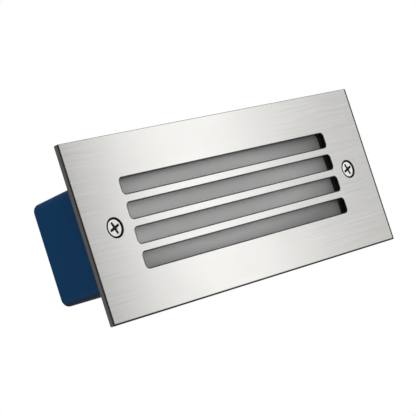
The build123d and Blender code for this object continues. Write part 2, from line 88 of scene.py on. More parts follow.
def angle(name, degrees, text):
    """An angle given in degrees, kept in radians."""
    return FloatProperty(
        name=name, description=text, default=radians(degrees), subtype="ANGLE", unit="ROTATION"
    )


class STEPLIGHT_PG_faceplate(bpy.types.PropertyGroup):
    """The slotted plate's steel, and the slots as the part has them."""

    steel: colour("Steel", (0.80, 0.792, 0.772), "the brushed stainless steel")
    tarnish: colour("Tarnish", (0.795, 0.780, 0.740), "the steel where rain dries on it")
    mark_height: length("Mark height", 15.0, "How far the tarnish reaches above the lower edge")
    edge: colour("Outer edge", (0.230, 0.216, 0.198), "the plate's outer cut edge")
    # Painted shade: the slots' cut walls are coloured near black.
    slot_wall_shade: colour("Slot edge", (0.018, 0.017, 0.016), "the slots' cut walls")
    roughness: share("Roughness", 0.22, "How far the brushed face scatters a reflection")
    edge_ease: length("Eased edge", 0.7, "Width over which the plate's corners look rounded")
    # Painted shade: width of the near-black line painted along the plate's outline.
    outline_shade_band: length("Outline band", 1.15, "Width of the dark rolled edge along the plate's outline")
    # These scale the distances from the ends and the top, and so the width of the painted shade there.
    end_distance_scale: share("End roll", 0.75, "Distance from the ends, as a share, in the outline band")
    top_distance_scale: share("Top roll", 3.9, "Distance from the top, as a share, in the outline band", highest=9.0)
    # Painted shade: width of the near-black line painted round the slots and screw holes.
    slot_shade_band: length("Slot band", 0.75, "Width of the dark rolled edge round the slots and screw holes")
    slot_length: length("Slot length", 171.0, "Length of a slot")
    slot_height: length("Slot height", 9.0, "Height of a slot")
    slot_pitch: length("Slot pitch", 14.0, "Distance between slots")
    slot_corner: length("Slot corner", 2.2, "Radius of a slot's corners")
    brushing: share("Brushing", 0.75, "How much more it scatters across the brushing than along it")
    waviness: length("Waviness", 0.012, "Depth of the sheet's slow unevenness")
    waviness_span: length("Waviness span", 26.0, "Width of one slow swell in the sheet")
    line_width: length("Line width", 0.16, "Width of the finest brushing lines")
    line_length: length("Line length", 26.0, "Length of the brushing lines")


class STEPLIGHT_PG_screws(bpy.types.PropertyGroup):
    """Cover screws and the small pan-head screws inside."""

    bright: colour("Bright steel", (0.99, 0.99, 0.985), "the cover screws")
    zinc: colour("Zinc", (0.62, 0.63, 0.64), "plated screws, studs, nuts and clamps")
    green: colour("Green plating", (0.10, 0.36, 0.12), "the earth screw")
    shade: colour("Recess shade", (0.012, 0.012, 0.012), "a cover screw's cross recess")
    small_shade: colour("Small recess shade", (0.02, 0.02, 0.02), "a small screw's cross recess")
    recess_arm: length("Recess arm", 3.5, "Length of a cover screw's cross arm from its middle")
    recess_width: length("Recess width", 1.45, "Width of a cover screw's cross arm")
    recess_depth: length("Recess depth", 2.1, "Depth of the cross at its middle")
    recess_angle: angle("Recess turn", 21.0, "How far the cross stands turned")
    pitch: length("Thread pitch", 0.8, "Rise of a cover screw's thread in one turn")
    neck: length("Neck", 1.9, "Radius of a cover screw's plain neck")
    plain: length("Plain length", 11.0, "Length from a cover screw's top to where its thread starts")
    stud_pitch: length("Stud pitch", 0.5, "Rise of a stud's thread in one turn")


class STEPLIGHT_PG_housing(bpy.types.PropertyGroup):
    """The moulded back box and the rubber and plastic round the lens."""

    navy: colour("Navy", (0.001, 0.056, 0.165), "the moulded back box")
    black: colour("Black plastic", (0.010, 0.010, 0.011), "the lens frame")
    rubber: colour("Rubber", (0.008, 0.008, 0.009), "the gaskets and the grommet")
    ring: colour("Ring rubber", (0.003, 0.003, 0.003), "the rings round the screw heads")
    foam: colour("Foam", (0.030, 0.030, 0.032), "the foam behind the plate")
    glass: colour("Glass", (0.88, 0.88, 0.872), "the frosted lens")
    # Painted light and shade on the lens: even colour inside an oval of painted light, set left of and above
    # its middle, and darker outside it towards the corners.
    lit_oval_length: length("Milky length", 91.0, "Half length of the lens's evenly milky oval")
    lit_oval_height: length("Milky height", 29.0, "Half height of the lens's evenly milky oval")
    lit_oval_shift: length("Milky shift", 17.0, "How far that oval lies to the left of the lens's middle")
    lit_oval_rise: length("Milky rise", 2.0, "How far that oval lies above the lens's middle")
    shaded_corner_share: share("Thin milk", 0.5, "How pale the lens still is towards its corners")
    nylon: colour("Nylon", (0.72, 0.69, 0.60), "the screw retainers")


class STEPLIGHT_PG_source(bpy.types.PropertyGroup):
    """What stands on the tray: light source, driver, terminals and leads."""

    enamel: colour("Enamel", (0.86, 0.86, 0.84), "the reflector tray")
    mask: colour("Board mask", (0.80, 0.81, 0.79), "the board's solder mask")
    package: colour("Chip package", (0.84, 0.84, 0.82), "the chips' moulded rims")
    phosphor: colour("Phosphor", (0.86, 0.56, 0.06), "the chips' windows")
    chip_length: length("Chip length", 3.5, "Length of a chip along its row")
    chip_height: length("Chip height", 2.8, "Height of a chip")
    chip_pitch: length("Chip pitch", 11.5, "Distance between chips along a row")
    chip_columns: IntProperty(name="Chips in a row", description="Chips in one row", default=10, min=1)
    white: colour("White plastic", (0.78, 0.78, 0.75), "the driver and the connector")
    grey: colour("Grey plastic", (0.42, 0.43, 0.43), "the terminal block")
    brass: colour("Brass", (0.78, 0.57, 0.24), "inserts and terminal screws")
    tinned: colour("Tinned copper", (0.70, 0.68, 0.64), "the earth tongue")
    green: colour("Green", (0.02, 0.25, 0.05), "the earth lead")
    yellow: colour("Yellow", (0.80, 0.62, 0.03), "the earth lead's stripe")
    live: colour("Live lead", (0.012, 0.012, 0.012), "the live and negative leads")
    neutral: colour("Neutral lead", (0.78, 0.77, 0.73), "the neutral lead")
    positive: colour("Positive lead", (0.45, 0.012, 0.010), "the positive output lead")


class STEPLIGHT_PG_studio(bpy.types.PropertyGroup):
    """Camera, floor and soft lights."""

    place: pose(
        "Camera place", (-0.63191, -0.62010, -0.05566), "Where the camera stands", "TRANSLATION", "LENGTH"
    )
    turn: pose(
        "Camera turn",
        (radians(93.7337), radians(17.7461), radians(-43.2642)),
        "How the camera is turned",
        "EULER",
        "ROTATION",
    )
    lens: FloatProperty(name="Lens", description="Focal length", default=132.49, min=1.0, unit="CAMERA")
    floor_drop: length("Floor drop", 750.0, "How far the floor lies below the middle of the plate")
    floor_reach: length("Floor reach", 4500.0, "Radius of the floor")
    floor: colour("Floor", (0.86, 0.86, 0.86), "the pale floor")
    surround: share("Surround", 0.36, "Brightness of the studio's walls", highest=4.0)
    key_azimuth: share("Key azimuth", 44.2, "Where the narrow key light stands, in degrees", highest=90.0)
    key: share("Key light", 1.16, "Brightness of the narrow light that the plate mirrors", highest=4.0)
    flag: share("Flag", 0.36, "Darkness of the dark screen on the key light's left", highest=4.0)
    side: share("Side light", 0.55, "Brightness of the broad light on the right", highest=4.0)
    flank: share(
        "Flank light", 0.4, "Brightness of the light that grazes the plate from the right", highest=9.0
    )
    front: share("Front light", 1.17, "Brightness of the broad light on the front's left", highest=9.0)
    fill: share("Fill light", 0.20, "Brightness of the light on the left", highest=4.0)
    top: share("Top light", 0.30, "Brightness of the light overhead", highest=4.0)


SETTINGS = (
    ("faceplate", STEPLIGHT_PG_faceplate),
    ("screws", STEPLIGHT_PG_screws),
    ("housing", STEPLIGHT_PG_housing),
    ("source", STEPLIGHT_PG_source),
    ("studio", STEPLIGHT_PG_studio),
)


def settings(name):
    return getattr(bpy.context.scene, "steplight_" + name)


# --- Surfaces ---
def wrapped(points, ring):
    """Vertices, quads and end fans of a surface whose rows of points each close round.

    Neighbouring rows are joined by quads. A ring's last row joins its first, and any other
    surface closes at both ends with a fan to the mean of its end row. The faces are turned
    round where the volume that they enclose comes out negative."""
    rows, columns = points.shape[:2]
    vertices = points.reshape(-1, 3)
    here = np.arange(rows * columns).reshape(rows, columns)
    after = np.roll(here, -1, 1)
    quads = np.stack([here, np.roll(here, -1, 0), np.roll(after, -1, 0), after], -1)
    quads = quads[: rows if ring else rows - 1].reshape(-1, 4)
    fans = np.zeros((0, 3), int)
    if not ring:
        vertices = np.vstack([vertices, points[0].mean(0), points[-1].mean(0)])
        pole = np.full(columns, rows * columns)
        first_fan = np.stack([pole, here[0], after[0]], -1)
        last_fan = np.stack([pole + 1, after[-1], here[-1]], -1)
        fans = np.vstack([first_fan, last_fan])
    halves = np.vstack([quads[:, [0, 1, 2]], quads[:, [0, 2, 3]], fans])
    corner = vertices[halves]
    volume = np.einsum("ij,ij->i", corner[:, 0], np.cross(corner[:, 1], corner[:, 2])).sum()
    if volume < 0:
        quads = quads[:, ::-1]
        fans = fans[:, ::-1]
    return vertices, quads, fans


def piece(node, ending, points, spots, finishes, body, numbers=0, ring=False):
    """One mesh object that stands for a CAD node: a shape, repeated at spots given as x and z.

    Its finish numbers are one for each row of the shape's quads, or one for the whole shape."""
    shape, quads, fans = wrapped(points, ring)
    columns = points.shape[1]
    by_row = np.broadcast_to(numbers, (len(quads) // columns,))
    by_face = np.concatenate([np.repeat(by_row, columns), np.repeat(by_row[[0, -1]], len(fans) // 2)])
    vertices = np.vstack([shape + (x, 0.0, z) for x, z in spots])
    faces = []
    for first in range(0, len(vertices), len(shape)):
        faces += (first + quads).tolist() + (first + fans).tolist()
    mesh = bpy.data.meshes.new(node + ending)
    mesh.from_pydata(vertices.tolist(), [], faces)
    mesh.polygons.foreach_set("material_index", np.tile(by_face, len(spots)).astype(np.int32))
    mesh.polygons.foreach_set("use_smooth", np.ones(len(faces), bool))
    mesh.set_sharp_from_angle(angle=CREASE)
    for finish in finishes:
        mesh.materials.append(finish)
    mesh.update()
    made = bpy.data.objects.new(node + ending, mesh)
    bpy.context.scene.collection.objects.link(made)
    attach(made, body)
    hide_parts(node)


def corners(low, high, inset):
    """Spots a given inset from the corners of a node's box."""
    return [(x, z) for x in (low.x + inset, high.x - inset) for z in (low.z + inset, high.z - inset)]


def even(radii, depths, columns):
    """Rows of a turned profile that are the same all round."""
    return np.repeat(np.array(radii)[:, None], columns, 1), np.array(depths)[:, None]


def turned(*sections):
    """A surface turned about the Y axis, from sections of rows that follow each other. Each section
    is its radii and its depths, and a point is its radius by the sine and cosine of its angle."""
    radii = np.vstack([section[0] for section in sections])
    depths = np.vstack([np.broadcast_to(section[1], section[0].shape) for section in sections])
    around = np.linspace(0, TURN, radii.shape[1], endpoint=False)
    return np.stack([radii * np.sin(around), depths, radii * np.cos(around)], -1)


def cross_radius(around, arm, width):
    """Distance from the middle to the edge of a cross: the larger of its two bars' distances,
    each the smaller of the arm over the cosine and half the width over the sine. High powers
    stand in for larger and smaller, and so ease the corners."""
    sharp = 9.0
    cosine = np.abs(np.cos(around))
    sine = np.abs(np.sin(around))
    level = ((cosine / arm) ** sharp + (2 * sine / width) ** sharp) ** (-1 / sharp)
    upright = ((sine / arm) ** sharp + (2 * cosine / width) ** sharp) ** (-1 / sharp)
    return (level**sharp + upright**sharp) ** (1 / sharp)


def recess_rows(arm, width, depth, turned_by, columns):
    """Rows of a cross recess from its middle up to its brim: a floor that rises as a cone from the
    middle to the arms' ends, then steep walls to the cross outline at depth nought."""
    around = np.linspace(0, TURN, columns, endpoint=False) + turned_by
    brim = cross_radius(around, arm, width)
    foot = cross_radius(around, 0.80 * arm, 0.66 * width)
    floor_radii = np.array([0.2, 0.6, 1.0])[:, None] * foot
    floor_depths = depth * (1 - 0.55 * floor_radii / arm)
    radii = np.vstack([floor_radii, brim, brim + 0.03 * arm])
    depths = np.vstack([floor_depths, np.full((1, columns), 0.02 * depth), np.zeros((1, columns))])
    return radii, depths


def recess_numbers(points):
    """Finish numbers of a screw's rows: one for its recess, and nought for the rest."""
    recess_quads = 4
    return np.arange(len(points) - 1) < recess_quads


def thread_rows(root, crest, start, end, pitch, columns):
    """Rows of a right-hand thread: the radius swings between root and crest with the phase, which is
    the depth in pitches less the angle in turns, and swells in from nought at both ends."""
    rows_a_pitch = 8
    steps = max(rows_a_pitch, int(round(rows_a_pitch * (end - start) / pitch)))
    depths = np.linspace(start, end, steps + 1)[:, None]
    around = np.linspace(0, 1, columns, endpoint=False)
    phase = depths / pitch - around
    wave = np.clip(1.5 * np.abs(2 * (phase - np.floor(phase)) - 1) - 0.25, 0, 1)
    swell = np.clip(np.minimum(depths - start, end - depths) / pitch, 0, 1)
    return root + (crest - root) * wave * swell, depths


# --- Node helpers ---
def add(tree, kind, inputs=None, output=0, **options):
    """Adds a shader node, and returns one of its outputs. Each input is given a value, or another
    node's output to take it from."""
    node = tree.nodes.new("ShaderNode" + kind)
    for key, value in options.items():
        setattr(node, key, value)
    for key, value in (inputs or {}).items():
        if isinstance(value, bpy.types.NodeSocket):
            tree.links.new(value, node.inputs[key])
        else:
            node.inputs[key].default_value = value
    return node.outputs[output]


def follow(kind, inputs, output=0, **options):
    """Adds a node to the tree that its first linked input comes from."""
    source = next(value for value in inputs.values() if isinstance(value, bpy.types.NodeSocket))
    return add(source.id_data, kind, inputs, output, **options)


def calc(operation, first, second=0.0, clamp=False):
    return follow("Math", {0: first, 1: second}, operation=operation, use_clamp=clamp)


def times(first, second):
    return calc("MULTIPLY", first, second)


def minus(first, second):
    return calc("SUBTRACT", first, second)


def unsigned(value):
    return calc("ABSOLUTE", value)


def vector(operation, first, second=(0.0, 0.0, 0.0)):
    output = "Value" if operation in ("LENGTH", "DOT_PRODUCT") else "Vector"
    return follow("VectorMath", {0: first, 1: second}, output, operation=operation)


def place(tree):
    """Where a point lies, in Object coordinates."""
    return add(tree, "TexCoord", output="Object")


def facing(tree):
    return add(tree, "NewGeometry", output="Normal")


def parts(whole):
    """The X, Y and Z outputs of a vector."""
    return follow("SeparateXYZ", {0: whole}).node.outputs


def joined(x, y):
    return follow("CombineXYZ", {0: x, 1: y})


def spread(value, low, high, to_low=0.0, to_high=1.0, soft=False):
    """Maps a value from one range to another, and holds it inside. A soft one eases at both ends."""
    inputs = {"Value": value, "From Min": low, "From Max": high, "To Min": to_low, "To Max": to_high}
    kind = "SMOOTHERSTEP" if soft else "LINEAR"
    return follow("MapRange", inputs, interpolation_type=kind)


def mixed(mask, first, second):
    """The first colour where the mask is nought, and the second where it is one."""
    first_colour, second_colour, mixed_colour = 6, 7, 2
    inputs = {0: mask, first_colour: first, second_colour: second}
    return follow("Mix", inputs, mixed_colour, data_type="RGBA")


def opaque(rgb, strength=1.0):
    return (*(channel * strength for channel in rgb), 1.0)


def mottled(noise, rgb, darker, lighter, low=0.3, high=0.7):
    """A colour between two strengths of itself, by a noise that lies mostly between low and high."""
    return mixed(spread(noise, low, high), opaque(rgb, darker), opaque(rgb, lighter))


def scatter(noise, smooth, rough):
    """Roughness between two values, by a noise."""
    return spread(noise, 0.2, 0.8, smooth, rough)


def shared(tree, name, output, fill, values):
    """One number from the node group of that name. The group is made when first asked for, with
    an input for each value, and fill adds its nodes and returns what it puts out."""
    group = bpy.data.node_groups.get(name)
    if group is None:
        group = bpy.data.node_groups.new(name, "ShaderNodeTree")
        for key, value in values.items():
            kind = "NodeSocketVector" if isinstance(value, tuple) else "NodeSocketFloat"
            socket = group.interface.new_socket(key, in_out="INPUT", socket_type=kind)
            socket.default_value = value
        group.interface.new_socket(output, in_out="OUTPUT", socket_type="NodeSocketFloat")
        given = group.nodes.new("NodeGroupInput").outputs
        result = group.nodes.new("NodeGroupOutput").inputs[output]
        group.links.new(fill(group, given), result)
    return add(tree, "Group", values, node_tree=group)


def grain_nodes(group, given):
    """Soft noise of a given feature size, which may be drawn out along the axes."""
    drawn = vector("DIVIDE", place(group), given["Stretch"])
    scale = calc("DIVIDE", 1.0, given["Size"])
    return add(group, "TexNoise", {"Vector": drawn, "Scale": scale, "Detail": given["Detail"]})


def wear_nodes(group, given):
    """One where the surface turns sharply within a given radius, broken up by grain."""
    eased = add(group, "Bevel", {"Radius": given["Radius"]}, samples=6)
    along = vector("DOT_PRODUCT", eased, facing(group))
    sharp = spread(along, 0.995, 0.90)
    broken = spread(grain(group, 1.2), 0.35, 0.6)
    return calc("MULTIPLY", times(sharp, broken), given["Amount"], clamp=True)


def painted_shade_nodes(group, given):
    """Painted shade: one in corners and recesses that little open space reaches, where shade falls."""
    air = add(group, "AmbientOcclusion", {"Distance": given["Reach"]}, "AO", samples=16, only_local=True)
    closed = calc("SUBTRACT", 1.0, air, clamp=True)
    return calc("MULTIPLY", closed, given["Amount"], clamp=True)


def grain(tree, mm, stretch=(1.0, 1.0, 1.0), detail=3.0):
    values = {"Size": mm * MM, "Stretch": stretch, "Detail": detail}
    return shared(tree, "Grain", "Value", grain_nodes, values)


def edge_wear(tree, mm, amount):
    return shared(tree, "Edge Wear", "Mask", wear_nodes, {"Radius": mm * MM, "Amount": amount})


# Painted shade: a mask that darkens colour in corners and recesses, found by ambient occlusion.
def painted_shade(tree, mm, amount):
    return shared(tree, "Painted Shade", "Mask", painted_shade_nodes, {"Reach": mm * MM, "Amount": amount})


def bump(height, mm, over=None):
    """A normal from a height of nought to one that stands for so many millimetres. It may lie over
    another normal."""
    inputs = {"Height": height, "Distance": mm * MM, "Strength": 1.0}
    if over is not None:
        inputs["Normal"] = over
    return follow("Bump", inputs)


def new_finish(name, **values):
    """A material and its tree, with its shader's even values set."""
    material = bpy.data.materials.new(name)
    material.use_nodes = True
    shader = material.node_tree.nodes["Principled BSDF"]
    for key, value in values.items():
        shader.inputs[key.replace("_", " ").title().replace("Ior", "IOR")].default_value = value
    return material, material.node_tree


def connect(material, body, rough, normal=None, tangent=None):
    """Links a colour, a roughness and any normal and tangent to a material's shader. Returns it."""
    tree = material.node_tree
    shader = tree.nodes["Principled BSDF"]
    sockets = {"Base Color": body, "Roughness": rough, "Normal": normal, "Tangent": tangent}
    for key, socket in sockets.items():
        if socket is not None:
            tree.links.new(socket, shader.inputs[key])
    return material


# --- Finishes ---
def moulded(
    name, rgb, roughness=0.42, pores=0.35, pore_depth=0.012, wear=0.5, pale=2.2, gloss=0.45, under=1.0
):
    """Moulded plastic: fine spark-eroded grain, faint mottling, painted shade in its corners and paler
    rubbed edges. Its underside is painted darker as shade, keeping the given share of its colour."""
    material, tree = new_finish(name, specular_ior_level=gloss)
    fine = grain(tree, pores, detail=4.0)
    lighter = tuple(min(1.0, channel * pale + 0.012) for channel in rgb)
    body = mottled(grain(tree, 14.0), rgb, 0.96, 1.04)
    body = mixed(edge_wear(tree, 0.25, wear), body, opaque(lighter))
    # Painted shade in corners and recesses.
    body = mixed(painted_shade(tree, 3.0, 0.5), body, opaque(rgb, 0.45))
    # Painted shade: faces that point down keep only the given share of the colour.
    if under < 1:
        underside = spread(parts(facing(tree))["Z"], -0.40, -0.85)
        body = mixed(underside, body, opaque(rgb, under))
    rough = spread(fine, 0.25, 0.75, roughness - 0.06, roughness + 0.08)
    return connect(material, body, rough, bump(fine, pore_depth))


def rubber(name, rgb, dust=0.35, gloss=0.3):
    """Matt rubber with a fine skin, and dust that greys its open faces."""
    material, tree = new_finish(name, specular_ior_level=gloss)
    film = grain(tree, 5.0, detail=5.0)
    dusty = tuple(channel + 0.03 for channel in rgb)
    body = mixed(spread(film, 0.4, 0.8, 0.0, dust), opaque(rgb), opaque(dusty))
    rough = scatter(film, 0.54, 0.74)
    return connect(material, body, rough, bump(grain(tree, 0.5, detail=5.0), 0.02))


def foam(name, rgb):
    """Closed-cell foam: round cells cut open, with painted shade in their hollows."""
    material, tree = new_finish(name, specular_ior_level=0.2)
    cells_a_metre = 1600.0
    cells = add(tree, "TexVoronoi", {"Vector": place(tree), "Scale": cells_a_metre}, "Distance")
    hollow = spread(cells, 0.1, 0.6)
    # Painted shade: darker in the cells' hollows, paler on their rims.
    body = mixed(hollow, opaque(rgb, 0.4), opaque(rgb, 2.0))
    rough = spread(hollow, 0.0, 1.0, 0.95, 0.75)
    return connect(material, body, rough, bump(hollow, 0.12))


def plated(name, rgb, roughness=0.3, mottle=0.10, recess_shade_amount=0.7):
    """Plated or plain metal: cloudy tone, fine drawn marks, bright edges and painted shade in recesses."""
    material, tree = new_finish(name, metallic=1.0)
    cloud = grain(tree, 3.0, detail=5.0)
    bright = tuple(min(1.0, channel * 1.15) for channel in rgb)
    body = mottled(cloud, rgb, 1 - mottle, 1.0)
    body = mixed(edge_wear(tree, 0.12, 0.4), body, opaque(bright))
    # Painted shade: colour goes near black in recesses and corners.
    body = mixed(painted_shade(tree, 0.9, recess_shade_amount), body, opaque(rgb, 0.12))
    rough = scatter(cloud, roughness - 0.06, roughness + 0.10)
    return connect(material, body, rough, bump(grain(tree, 0.18, detail=2.0), 0.003))


def enamelled(name, rgb):
    """Baked white enamel: a soft orange-peel skin, with painted shade in its corners."""
    material, tree = new_finish(name, specular_ior_level=0.5, coat_weight=0.25, coat_roughness=0.15)
    cloud = grain(tree, 18.0)
    body = mottled(cloud, rgb, 0.96, 1.02)
    # Painted shade in the tray's corners.
    body = mixed(painted_shade(tree, 4.0, 0.35), body, opaque(rgb, 0.6))
    rough = scatter(cloud, 0.23, 0.38)
    return connect(material, body, rough, bump(grain(tree, 1.6, detail=2.0), 0.02))


def from_outline(tree, made):
    """Distance from the plate's outline: the smallest of the distances from its four edges. The one
    from the ends is shortened, which widens the painted shade there, and the top's is lengthened,
    which narrows it along the top."""
    low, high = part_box("faceplate")
    where = parts(place(tree))
    aside = times(minus(high.x, unsigned(where["X"])), made.end_distance_scale)
    above = times(minus(high.z, where["Z"]), made.top_distance_scale)
    below = minus(where["Z"], low.z)
    return calc("MINIMUM", aside, calc("MINIMUM", above, below))


def from_slots(tree, made):
    """Distance from the nearest of the four slots, each a rounded box: the length of what |x| and the
    height off the slot's middle exceed its straight sides by, less the corner radius. The nearest
    middle lies half a pitch above or below the plate's, or one and a half beyond one pitch."""
    where = parts(place(tree))
    aside = unsigned(where["X"])
    height = unsigned(where["Z"])
    outer = calc("GREATER_THAN", height, made.slot_pitch)
    middle = times(calc("ADD", outer, 0.5), made.slot_pitch)
    above = unsigned(minus(height, middle))
    straight = (made.slot_length / 2 - made.slot_corner, made.slot_height / 2 - made.slot_corner, 0.0)
    past = vector("SUBTRACT", joined(aside, above), straight)
    reach = vector("LENGTH", vector("MAXIMUM", past))
    return minus(reach, made.slot_corner)


def from_screws(tree):
    """Distance from the two screw holes: the length from the nearer middle, less the hole's radius."""
    low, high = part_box("right_screw_seal")
    where = parts(place(tree))
    aside = minus(unsigned(where["X"]), (low.x + high.x) / 2)
    reach = vector("LENGTH", joined(aside, where["Z"]))
    return minus(reach, (high.x - low.x) / 2)


def cut_wall(tree):
    """One on the walls that were cut through the sheet, nought on its faces."""
    across = unsigned(parts(facing(tree))["Y"])
    return spread(across, 0.55, 0.25)


def cut_colour(tree, made):
    """The outer edge's colour near the plate's outline, and the slots' near-black one further in, which is
    painted shade.
    """
    outline = spread(from_outline(tree, made), 1.5 * MM, 1.0 * MM)
    return mixed(outline, opaque(made.slot_wall_shade), opaque(made.edge))


def corner_shade(tree, made):
    """Painted shade: one in a band along the sheet's outline, slots and screw holes, nought on its flats."""
    outline = spread(from_outline(tree, made), made.outline_shade_band, 0.7 * made.outline_shade_band)
    slots = spread(from_slots(tree, made), made.slot_shade_band, 0.6 * made.slot_shade_band)
    screws = spread(from_screws(tree), 0.7 * made.slot_shade_band, 0.4 * made.slot_shade_band)
    return calc("MAXIMUM", outline, calc("MAXIMUM", slots, screws))


def water_marks(tree, made):
    """Where rain dries on the plate: patches along the lower edge that fade upwards."""
    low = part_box("faceplate")[0].z
    height = parts(place(tree))["Z"]
    near = spread(height, low + made.mark_height, low + 2 * MM, soft=True)
    patches = spread(grain(tree, 45.0, detail=4.0), 0.38, 0.62)
    return times(near, times(patches, 0.75))


def brushed_steel(made):
    """Stainless sheet brushed along its length: fine and broad lines, a slow unevenness of the sheet,
    water marks, painted shade in a near-black line along its outline, slots and screw holes, and
    cut walls painted darker, near black in the slots as painted shade."""
    material, tree = new_finish("brushed stainless", metallic=1.0, anisotropic=made.brushing)
    width = made.line_width / MM
    drawn = made.line_length / made.line_width
    fine = grain(tree, width, (drawn, 1.0, 1.0), 2.0)
    broad = grain(tree, 6 * width, (drawn / 4, 1.0, 1.0), 2.0)
    lines = calc("ADD", times(fine, 0.5), times(broad, 0.5))
    swell = grain(tree, made.waviness_span / MM, detail=1.0)
    cloud = grain(tree, 34.0, detail=4.0)
    body = mottled(lines, made.steel, 0.955, 1.045, 0.35, 0.65)
    body = mixed(spread(cloud, 0.35, 0.65, 0.0, 0.35), body, opaque(made.steel, 0.93))
    body = mixed(water_marks(tree, made), body, opaque(made.tarnish))
    # Painted shade: a near-black line along the plate's outline, slots and screw holes.
    body = mixed(corner_shade(tree, made), body, opaque(made.steel, 0.05))
    # Cut walls: near black in the slots as painted shade, a darker grey at the outer edge.
    body = mixed(cut_wall(tree), body, cut_colour(tree, made))
    eased = add(tree, "Bevel", {"Radius": made.edge_ease}, samples=6)
    uneven = bump(swell, made.waviness / MM, eased)
    rough = spread(lines, 0.3, 0.7, made.roughness - 0.03, made.roughness + 0.03)
    across_brushing = add(tree, "CombineXYZ", {"Z": 1.0})
    return connect(material, body, rough, bump(lines, 0.0006, uneven), across_brushing)


def frosted_glass(made):
    """Sand-blasted glass: a milky, finely pitted skin that lets a little light through. Its colour is
    even inside a long oval of painted light, and darkens smoothly outside it towards the corners as
    painted shade."""
    material, tree = new_finish("frosted glass", transmission_weight=0.3, ior=1.5)
    low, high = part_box("lens")
    middle = ((low.x + high.x) / 2 - made.lit_oval_shift, 0.0, (low.z + high.z) / 2 + made.lit_oval_rise)
    centred = vector("SUBTRACT", place(tree), middle)
    oval = vector("DIVIDE", centred, (made.lit_oval_length, 1.0, made.lit_oval_height))
    out = vector("LENGTH", oval)
    cloud = grain(tree, 22.0)
    body = mottled(cloud, made.glass, 0.985, 1.01)
    # Painted light and shade: even inside the oval, darker outside it towards the lens's corners.
    body = mixed(spread(out, 0.80, 1.25), body, opaque(made.glass, made.shaded_corner_share))
    rough = scatter(cloud, 0.48, 0.60)
    return connect(material, body, rough, bump(grain(tree, 0.12, detail=2.0), 0.004))


def board_mask(made):
    """White solder mask: the gaps between the copper fields under it show as faint sunk lines."""
    material, tree = new_finish("board mask", specular_ior_level=0.5)
    inputs = {
        "Vector": place(tree),
        "Scale": 1.0,
        "Brick Width": made.chip_pitch,
        "Row Height": 1.0,
        "Mortar Size": 0.4 * MM,
        "Mortar Smooth": 0.2,
    }
    gap = add(tree, "TexBrick", inputs, "Fac", offset=0.0)
    body = mixed(gap, opaque(made.mask), opaque(made.mask, 0.80))
    rough = scatter(grain(tree, 0.5), 0.32, 0.45)
    copper = minus(1.0, gap)
    return connect(material, body, rough, bump(copper, 0.035))


def phosphor(made):
    """The chips' windows: clear resin loaded with yellow powder."""
    material, tree = new_finish("chip phosphor", specular_ior_level=0.5, coat_weight=0.5)
    powder = grain(tree, 0.10)
    body = mottled(powder, made.phosphor, 0.86, 1.1, 0.35, 0.65)
    return connect(material, body, scatter(powder, 0.3, 0.45))


def insulation(name, rgb, stripe=None):
    """A lead's soft skin, drawn smooth. A stripe lies along its upper side where one is given."""
    material, tree = new_finish(name, specular_ior_level=0.45)
    film = grain(tree, 3.0, detail=4.0)
    body = mottled(film, rgb, 0.85, 1.1)
    if stripe is not None:
        upper = spread(parts(facing(tree))["Z"], 0.30, 0.36)
        body = mixed(upper, body, opaque(stripe))
    rough = scatter(film, 0.32, 0.48)
    return connect(material, body, rough, bump(grain(tree, 0.4), 0.006))


def paint(material, *nodes):
    """Gives CAD nodes their finish."""
    for node in nodes:
        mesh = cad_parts[node].data
        mesh.materials.clear()
        mesh.materials.append(material)


# --- Operators: the stage ---
class Dressing(bpy.types.Operator):
    """Base of the operators that dress the light."""

    bl_options = {"REGISTER", "UNDO"}


def soft_light(way, glow, azimuth, elevation, width, height):
    """Glow of one soft light on the studio's walls. The way of looking is its azimuth, from the plate's
    front towards +X, and its elevation. The glow fades smoothly to nought at its width and height, in
    degrees, to either side of its middle."""
    aside = unsigned(minus(way[0], radians(azimuth)))
    above = unsigned(minus(way[1], radians(elevation)))
    across = spread(aside, radians(width), 0.0, soft=True)
    upright = spread(above, radians(height), 0.0, soft=True)
    return times(times(across, upright), glow)


